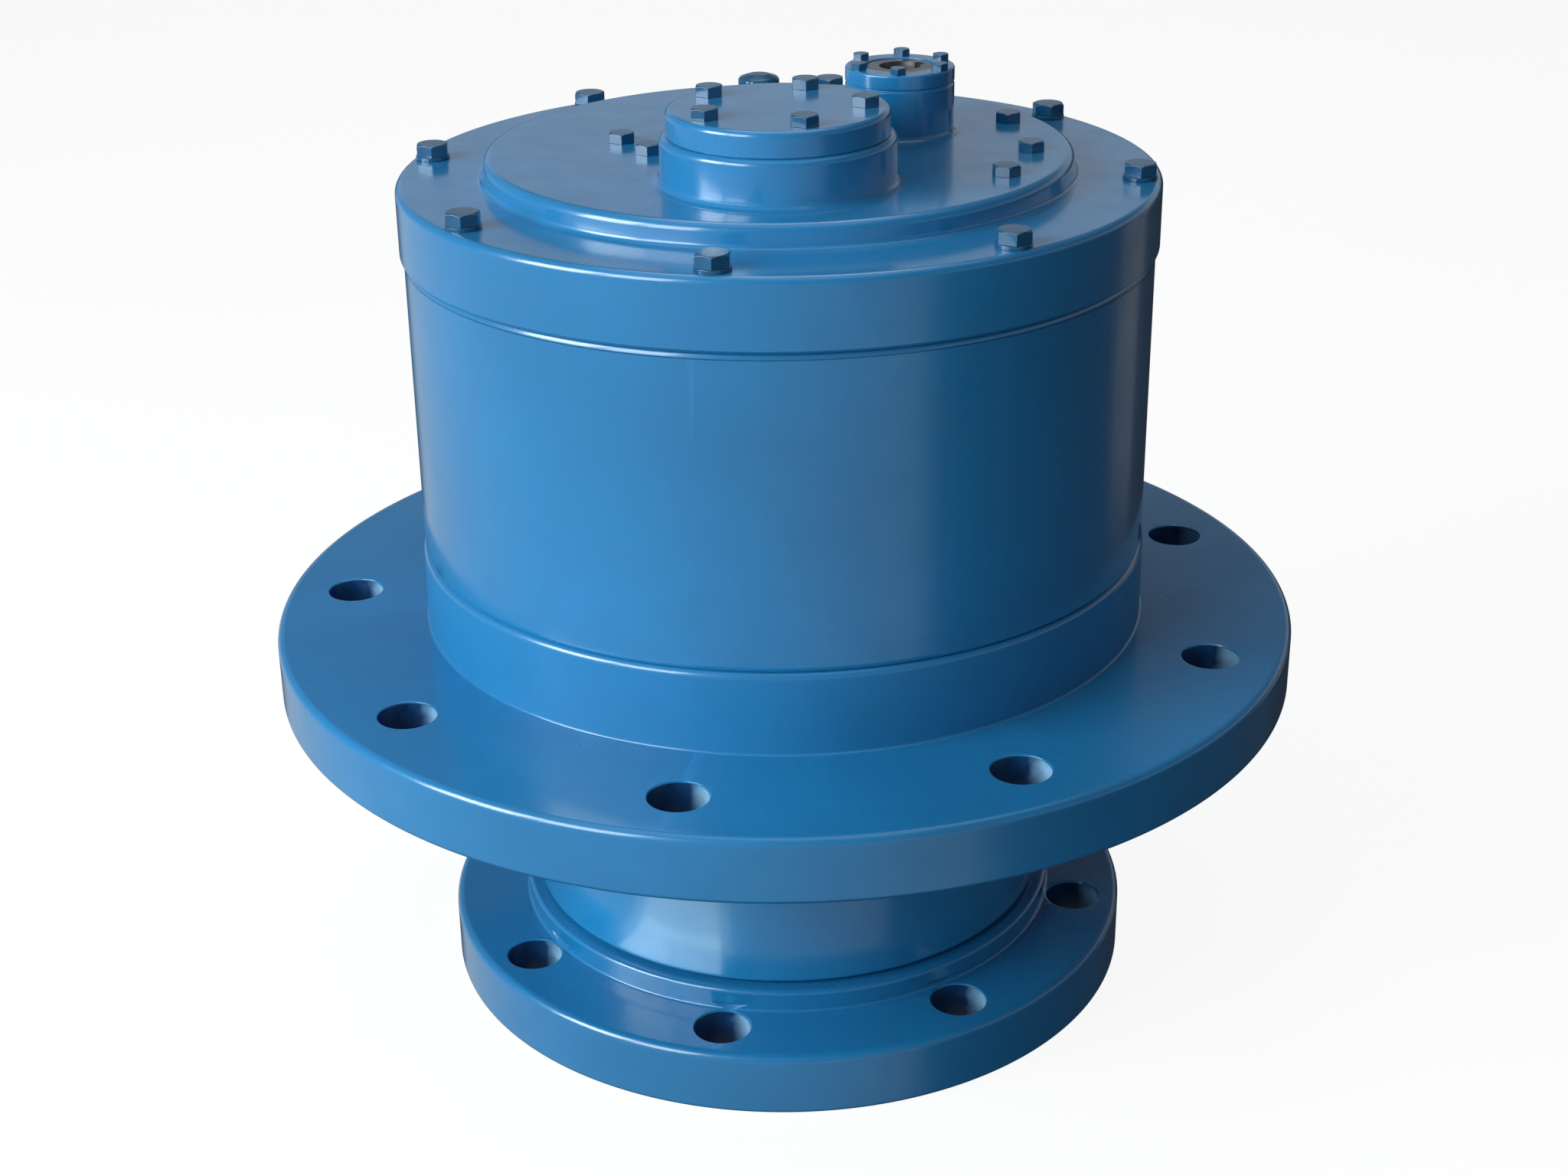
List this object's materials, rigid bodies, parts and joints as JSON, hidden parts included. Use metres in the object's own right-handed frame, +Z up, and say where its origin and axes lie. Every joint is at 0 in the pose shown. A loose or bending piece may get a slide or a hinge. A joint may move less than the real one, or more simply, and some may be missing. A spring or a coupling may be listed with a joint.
{
  "type": "gear reducer",
  "caption": "Inline two-stage planetary gear reducer with a flange output, a mounting flange and a keyed input bore in its cover, built as separate moving parts.",
  "frame": {"origin": "centre of the output flange's lower face, on the main axis", "axes": "+Z up the main axis from the output flange to the input; -Y through a hole of both flanges"},
  "size_m": [0.564, 0.564, 0.513],
  "materials": {
    "blue_casting": "gloss enamel over cast iron",
    "blue_fastener": "gloss enamel over steel screws",
    "steel_gear": "hobbed and ground",
    "steel_bearing": "ground and polished",
    "steel_plain": "machined, oiled",
    "bronze": "turned bronze",
    "nitrile": "moulded",
    "brake_lining": "pressed friction lining"
  },
  "bodies": {
    "casing": {"bearing_neck": "blue_casting", "mounting_flange": "blue_casting", "lower_housing": "blue_casting", "ring_gear_housing": "blue_casting", "top_cover": "blue_casting", "input_sleeve": "blue_casting", "drain_plug": "blue_fastener", "housing_screws": "steel_plain", "dowel_pins": "steel_plain", "seam_o_rings": "nitrile", "cover_bolts": "blue_fastener", "gallery_plugs": "blue_fastener", "breather_plug": "blue_fastener", "hub_cap": "blue_casting", "hub_cap_bolts": "blue_fastener", "sleeve_ring": "blue_casting", "sleeve_ring_screws": "blue_fastener", "input_seal": "nitrile", "main_bearing_cups": "steel_bearing", "output_seal": "nitrile", "sun_bearing_outer": "steel_bearing", "input_bearing_outers": "steel_bearing", "brake_bearing_outers": "steel_bearing", "brake_plates": "steel_plain"},
    "output": {"output_flange": "blue_casting", "output_shaft": "steel_plain", "output_flange_screws": "steel_plain", "main_bearing_cones": "steel_bearing", "bearing_spacer": "steel_plain", "bearing_lock_nut": "steel_plain", "stage2_carrier": "steel_plain", "stage2_planet_pins": "steel_plain", "stage2_planet_bushes": "bronze", "stage2_thrust_washers": "bronze", "stage2_thrust_button": "bronze"},
    "main_rollers": {"main_bearing_rollers": "steel_bearing"},
    "stage1_carrier_body": {"stage2_sun": "steel_gear", "stage1_carrier": "steel_plain", "stage1_planet_pins": "steel_plain", "stage1_planet_bushes": "bronze", "stage1_thrust_washers": "bronze", "stage1_thrust_button": "bronze"},
    "sun_shaft": {"stage1_sun_shaft": "steel_gear", "top_wheel": "steel_gear", "top_wheel_key": "steel_plain", "sun_bearing_inner": "steel_bearing"},
    "sun_balls": {"sun_bearing_balls": "steel_bearing"},
    "input": {"input_pinion": "steel_gear", "input_bearing_inners": "steel_bearing"},
    "input_balls": {"input_bearing_balls": "steel_bearing"},
    "brake": {"brake_pinion": "steel_gear", "brake_bearing_inners": "steel_bearing", "brake_discs": "brake_lining"},
    "brake_balls": {"brake_bearing_balls": "steel_bearing"},
    "s1_planet_1": {"stage1_planet_1": "steel_gear"},
    "s1_planet_2": {"stage1_planet_2": "steel_gear"},
    "s1_planet_3": {"stage1_planet_3": "steel_gear"},
    "s2_planet_1": {"stage2_planet_1": "steel_gear"},
    "s2_planet_2": {"stage2_planet_2": "steel_gear"},
    "s2_planet_3": {"stage2_planet_3": "steel_gear"}
  },
  "joints": [
    {"name": "output_spin", "type": "hinge", "parent": "casing", "child": "output", "pos_m": [0, 0, 0], "axis": [0, 0, 1], "continuous": true},
    {"name": "main_rollers_orbit", "type": "hinge", "parent": "casing", "child": "main_rollers", "pos_m": [0, 0, 0], "axis": [0, 0, 1], "continuous": true},
    {"name": "stage1_carrier_spin", "type": "hinge", "parent": "casing", "child": "stage1_carrier_body", "pos_m": [0, 0, 0], "axis": [0, 0, 1], "continuous": true},
    {"name": "sun_shaft_spin", "type": "hinge", "parent": "casing", "child": "sun_shaft", "pos_m": [0, 0, 0], "axis": [0, 0, 1], "continuous": true},
    {"name": "sun_balls_orbit", "type": "hinge", "parent": "casing", "child": "sun_balls", "pos_m": [0, 0, 0], "axis": [0, 0, 1], "continuous": true},
    {"name": "input_spin", "type": "hinge", "parent": "casing", "child": "input", "pos_m": [0.05674, 0.04433, 0], "axis": [0, 0, 1], "continuous": true},
    {"name": "input_balls_orbit", "type": "hinge", "parent": "casing", "child": "input_balls", "pos_m": [0.05674, 0.04433, 0], "axis": [0, 0, 1], "continuous": true},
    {"name": "brake_pinion_spin", "type": "hinge", "parent": "casing", "child": "brake", "pos_m": [0.01522, -0.07037, 0], "axis": [0, 0, 1], "continuous": true},
    {"name": "brake_balls_orbit", "type": "hinge", "parent": "casing", "child": "brake_balls", "pos_m": [0.01522, -0.07037, 0], "axis": [0, 0, 1], "continuous": true},
    {"name": "stage2_planet_1_spin", "type": "hinge", "parent": "output", "child": "s2_planet_1", "pos_m": [0.105, 0, 0], "axis": [0, 0, 1], "continuous": true},
    {"name": "stage2_planet_2_spin", "type": "hinge", "parent": "output", "child": "s2_planet_2", "pos_m": [-0.0525, 0.09093, 0], "axis": [0, 0, 1], "continuous": true},
    {"name": "stage2_planet_3_spin", "type": "hinge", "parent": "output", "child": "s2_planet_3", "pos_m": [-0.0525, -0.09093, 0], "axis": [0, 0, 1], "continuous": true},
    {"name": "stage1_planet_1_spin", "type": "hinge", "parent": "stage1_carrier_body", "child": "s1_planet_1", "pos_m": [0.105, 0, 0], "axis": [0, 0, 1], "continuous": true},
    {"name": "stage1_planet_2_spin", "type": "hinge", "parent": "stage1_carrier_body", "child": "s1_planet_2", "pos_m": [-0.0525, 0.09093, 0], "axis": [0, 0, 1], "continuous": true},
    {"name": "stage1_planet_3_spin", "type": "hinge", "parent": "stage1_carrier_body", "child": "s1_planet_3", "pos_m": [-0.0525, -0.09093, 0], "axis": [0, 0, 1], "continuous": true}
  ],
  "couplings": [
    {"joint": "main_rollers_orbit", "follows": "output_spin", "ratio": 0.4532},
    {"joint": "stage1_carrier_spin", "follows": "output_spin", "ratio": 4.6667},
    {"joint": "sun_shaft_spin", "follows": "output_spin", "ratio": 21.778},
    {"joint": "sun_balls_orbit", "follows": "output_spin", "ratio": 8.6501},
    {"joint": "input_spin", "follows": "output_spin", "ratio": -47.911},
    {"joint": "input_balls_orbit", "follows": "output_spin", "ratio": -21.91},
    {"joint": "brake_pinion_spin", "follows": "output_spin", "ratio": -47.911},
    {"joint": "brake_balls_orbit", "follows": "output_spin", "ratio": -18.978},
    {"joint": "stage2_planet_1_spin", "follows": "output_spin", "ratio": -2.75},
    {"joint": "stage2_planet_2_spin", "follows": "output_spin", "ratio": -2.75},
    {"joint": "stage2_planet_3_spin", "follows": "output_spin", "ratio": -2.75},
    {"joint": "stage1_planet_1_spin", "follows": "output_spin", "ratio": -12.833},
    {"joint": "stage1_planet_2_spin", "follows": "output_spin", "ratio": -12.833},
    {"joint": "stage1_planet_3_spin", "follows": "output_spin", "ratio": -12.833}
  ]
}
